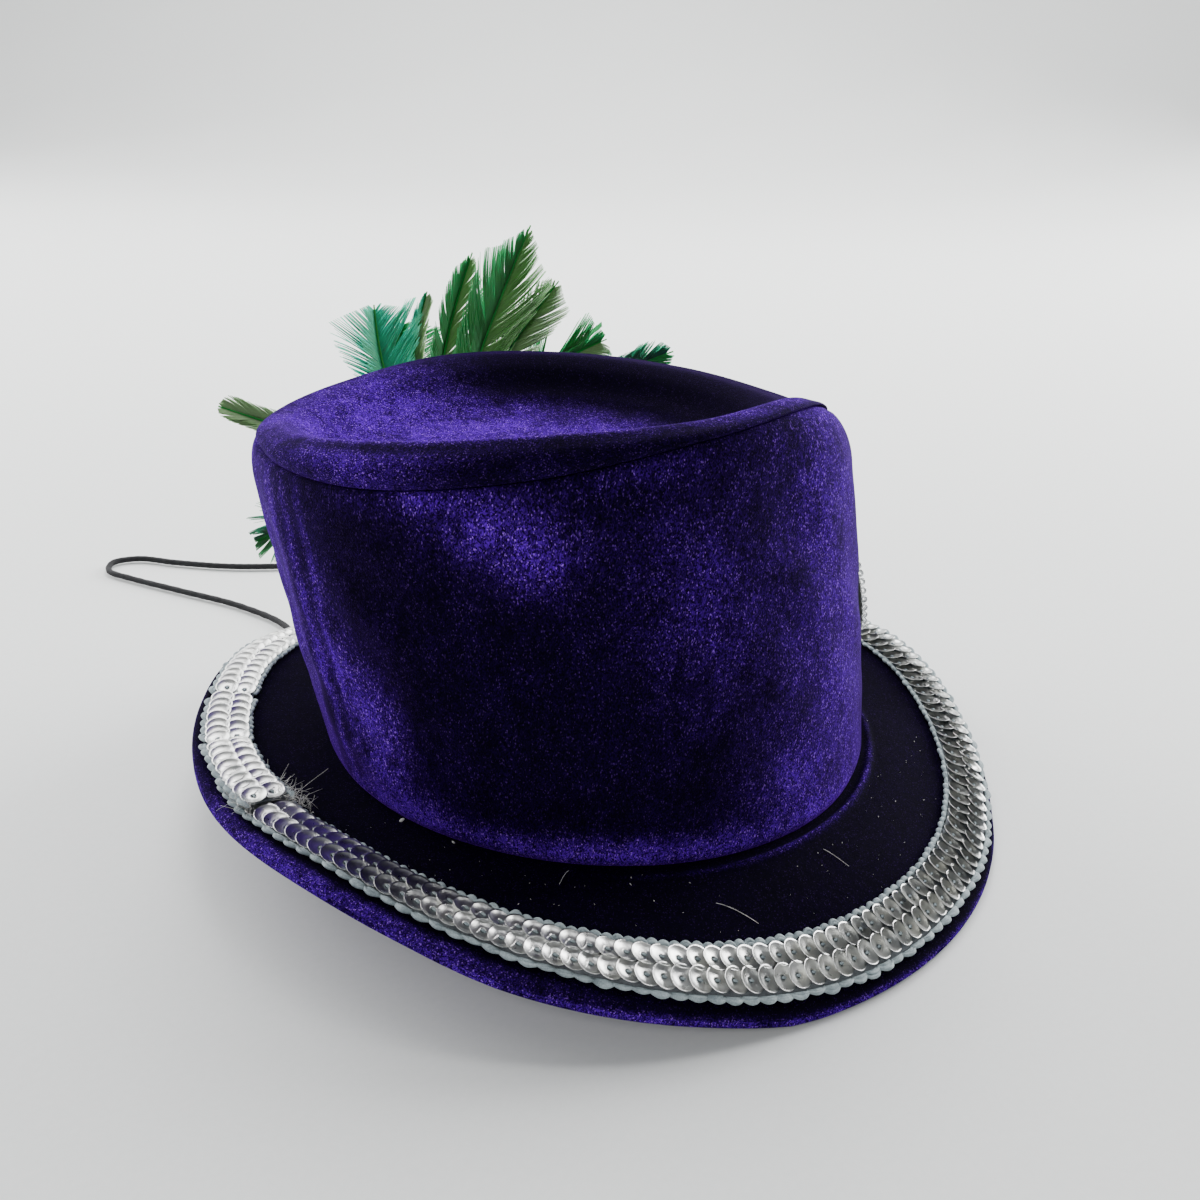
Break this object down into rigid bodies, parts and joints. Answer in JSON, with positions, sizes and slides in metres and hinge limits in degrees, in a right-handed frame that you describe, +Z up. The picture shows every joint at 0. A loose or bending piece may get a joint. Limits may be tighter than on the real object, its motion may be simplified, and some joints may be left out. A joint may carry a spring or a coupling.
{
  "type": "mini top hat",
  "caption": "Soft velvet mini top hat with a sunken tip, a curled brim edged in sequins, a feather plume, a beaded side medallion and a round elastic loop.",
  "frame": {"origin": "on the table under the middle of the brim", "axes": "+Z up, -Y the front of the hat, +X its decorated side"},
  "size_m": [0.158, 0.225, 0.0969],
  "materials": {
    "velvet": "deep violet pile velvet, dark where seen along the pile and bright at grazing angles",
    "sequins": "silver cup sequins on pale blue-grey thread",
    "feather": "dyed green and olive feathers",
    "beads": "clear glass seed beads round a black backing",
    "elastic": "black braided elastic"
  },
  "bodies": {
    "root": {"brim": "velvet", "crown_side": "velvet", "crown_tip": "velvet", "sequin_trim": "sequins", "feather_plume": "feather", "bead_medallion": "beads", "elastic_loop": "elastic"}
  },
  "joints": []
}
